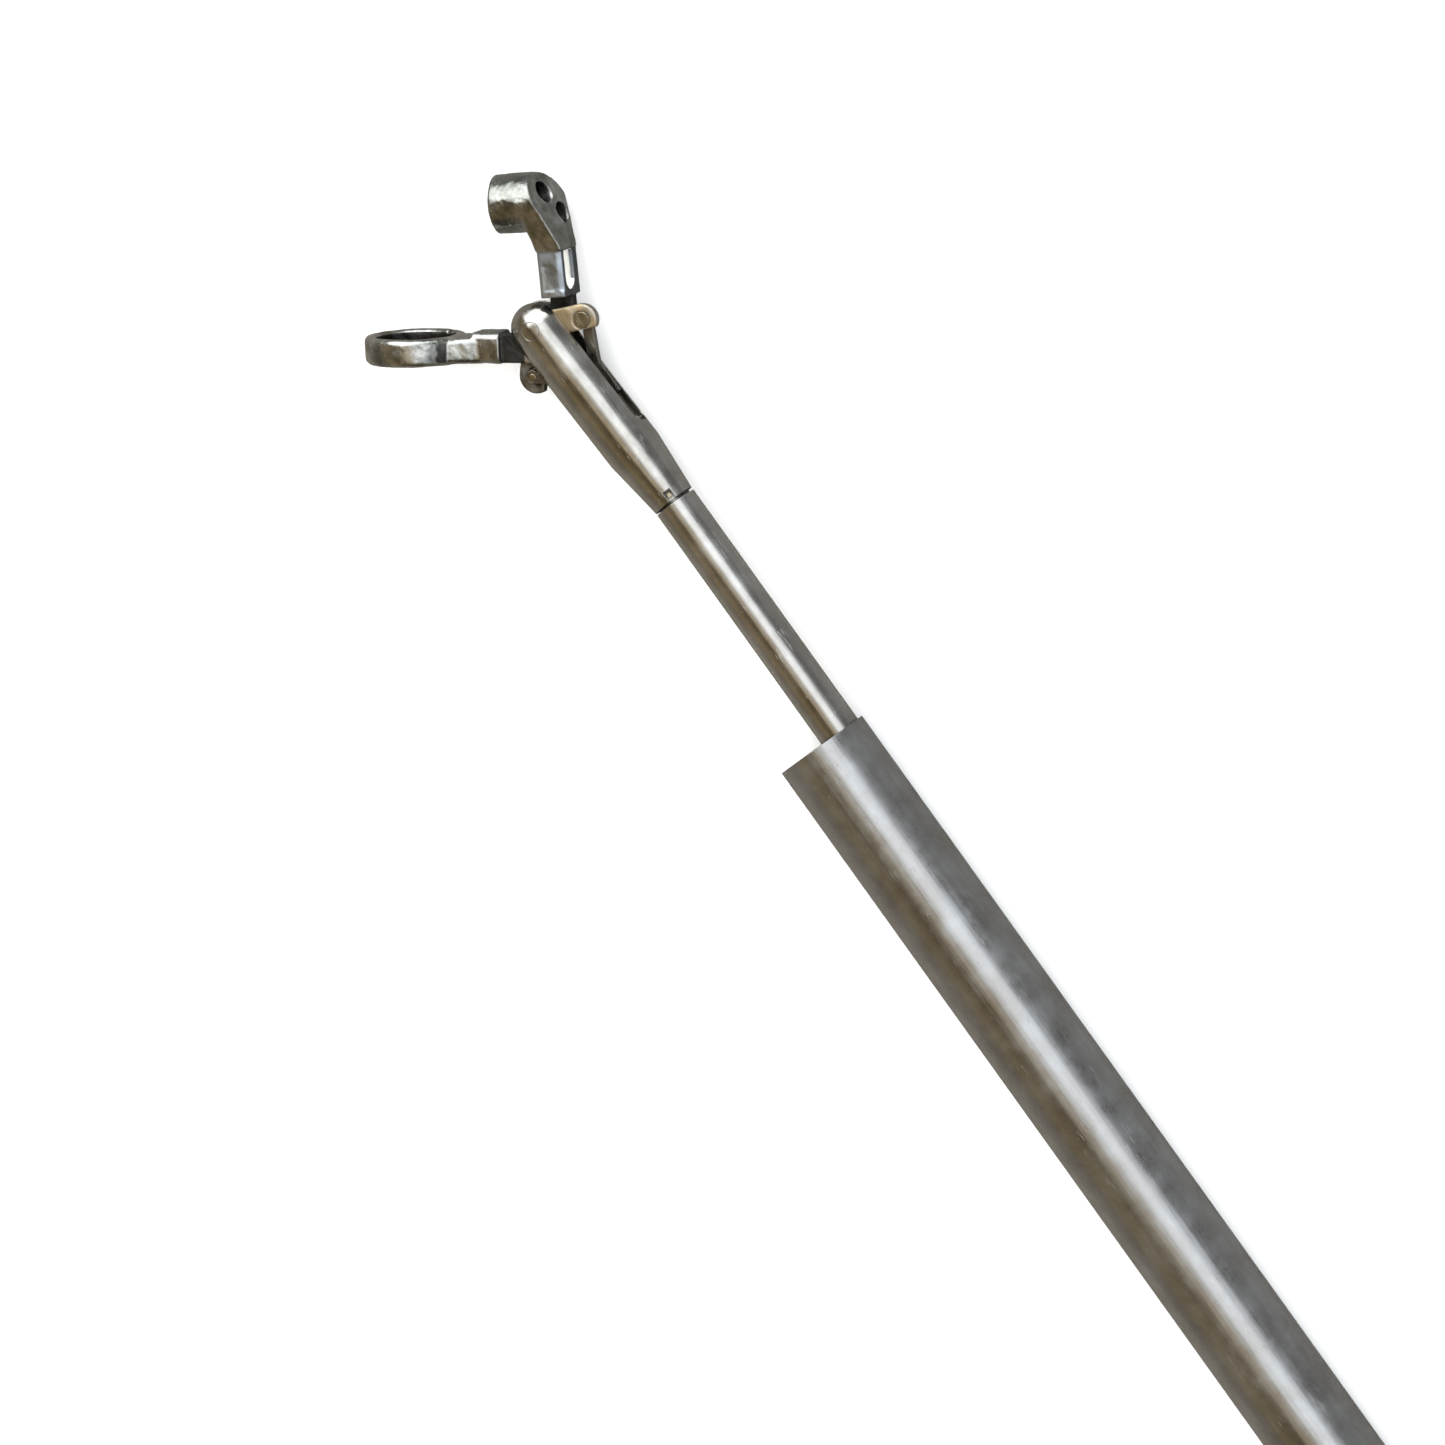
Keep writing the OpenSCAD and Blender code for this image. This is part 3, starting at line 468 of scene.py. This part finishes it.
def make_world():
    """A room that is dimmer towards its two ends, ahead of the jaws and behind the ring. Going over it from
    the +Y side to the -Y side it is grey, then a bluish window overhead, then a golden wall, then brown.
    A second window stands ahead of the jaws."""
    world = bpy.data.worlds.new("room")
    bpy.context.scene.world = world
    world.use_nodes = True
    tree = world.node_tree
    background = tree.nodes["Background"]
    coords = tree.nodes.new("ShaderNodeTexCoord")
    split = tree.nodes.new("ShaderNodeSeparateXYZ")
    tree.links.new(coords.outputs["Generated"], split.inputs[0])

    def ramp(value, low, high, stops):
        """A colour for value, from stops that give the place between low and high as 0 to 1."""
        made = tree.nodes.new("ShaderNodeValToRGB")
        elements = made.color_ramp.elements
        while len(elements) < len(stops):
            elements.new(0.5)
        for element, (at, colour) in zip(elements, stops):
            element.position = at
            element.color = (*colour, 1.0)
        shift = tree.nodes.new("ShaderNodeMapRange")
        shift.inputs["From Min"].default_value = low
        shift.inputs["From Max"].default_value = high
        tree.links.new(value, shift.inputs["Value"])
        tree.links.new(shift.outputs["Result"], made.inputs["Fac"])
        return made.outputs["Color"]

    angle = tree.nodes.new("ShaderNodeMath")
    angle.operation = "ARCTAN2"
    tree.links.new(split.outputs["Z"], angle.inputs[0])
    tree.links.new(split.outputs["Y"], angle.inputs[1])
    over = ramp(angle.outputs[0], 0.0, math.pi, (
        (0.0, (0.10, 0.10, 0.10)), (0.14, (0.09, 0.09, 0.09)), (0.20, (0.16, 0.17, 0.18)),
        (0.25, (0.70, 0.74, 0.78)), (0.38, (0.85, 0.88, 0.90)), (0.43, (0.45, 0.45, 0.44)),
        (0.475, (0.26, 0.24, 0.20)), (0.53, (0.34, 0.28, 0.19)), (0.585, (0.045, 0.035, 0.02)),
        (0.66, (0.09, 0.067, 0.036)), (0.76, (0.15, 0.116, 0.068)), (0.85, (0.11, 0.095, 0.07)),
        (1.0, (0.14, 0.13, 0.12))))
    along = ramp(split.outputs["X"], -1.0, 1.0, (
        (0.0, (0.55, 0.55, 0.55)), (0.2, (1.0, 1.0, 1.0)), (0.72, (1.0, 1.0, 1.0)),
        (0.78, (0.40, 0.40, 0.39)), (1.0, (0.30, 0.28, 0.26))))

    # the front window shows where the room is ahead of the tool, above the floor and on the +Y side
    black, white = (0.0, 0.0, 0.0), (1.0, 1.0, 1.0)
    ahead = ramp(split.outputs["X"], -1.0, 0.0, ((0.0, black), (0.12, white), (0.6, white), (0.75, black)))
    raised = ramp(split.outputs["Z"], 0.0, 1.0, ((0.02, black), (0.14, white), (0.88, white), (0.95, black)))
    beside = ramp(split.outputs["Y"], -1.0, 1.0, ((0.34, black), (0.42, white), (1.0, white)))

    def multiply(a, b):
        made = tree.nodes.new("ShaderNodeMath")
        made.operation = "MULTIPLY"
        tree.links.new(a, made.inputs[0])
        tree.links.new(b, made.inputs[1])
        return made.outputs[0]

    front_window = multiply(multiply(ahead, raised), beside)
    walls = tree.nodes.new("ShaderNodeMix")
    walls.data_type = "RGBA"
    walls.blend_type = "MULTIPLY"
    walls.inputs["Factor"].default_value = 1.0
    tree.links.new(over, walls.inputs[6])
    tree.links.new(along, walls.inputs[7])
    front = tree.nodes.new("ShaderNodeMix")
    front.data_type = "RGBA"
    tree.links.new(front_window, front.inputs["Factor"])
    tree.links.new(walls.outputs[2], front.inputs[6])
    front.inputs[7].default_value = (1.45, 1.50, 1.52, 1.0)
    tree.links.new(front.outputs[2], background.inputs["Color"])
    background.inputs["Strength"].default_value = 2.0


def make_lights():
    """One wide soft light overhead. It lights the floor, and shows in no reflection."""
    data = bpy.data.lights.new("overhead", "AREA")
    data.shape = "RECTANGLE"
    data.size = 1.4
    data.size_y = 1.4
    data.energy = 16.0
    light = bpy.data.objects.new("overhead", data)
    bpy.context.scene.collection.objects.link(light)
    light.location = (-0.2, 0.1, 0.9)
    towards = Vector((-0.2, 0, 0)) - light.location
    light.rotation_euler = towards.to_track_quat("-Z", "Y").to_euler()
    light.visible_glossy = False


def make_camera():
    """Looks down on the head along the tool, rolled so that the sleeve runs out of the lower right corner."""
    aim = Vector((-0.24901, -0.00820, 0.0))
    turn = math.radians(178.1)
    height = math.radians(67.9)
    roll = math.radians(-123.88)
    distance = 0.50693
    level = math.cos(height)
    eye = aim + distance * Vector((math.sin(turn) * level, -math.cos(turn) * level, math.sin(height)))
    data = bpy.data.cameras.new("camera")
    data.sensor_width = 36.0
    data.lens = 112.1
    data.clip_start = 0.01
    data.clip_end = 20.0
    camera = bpy.data.objects.new("camera", data)
    bpy.context.scene.collection.objects.link(camera)
    look = (aim - eye).to_track_quat("-Z", "Y").to_matrix().to_4x4()
    camera.matrix_world = Matrix.Translation(eye) @ look @ Matrix.Rotation(roll, 4, "Z")
    bpy.context.scene.camera = camera


make_floor()
make_world()
make_lights()
make_camera()
bpy.context.scene.view_settings.view_transform = "Standard"
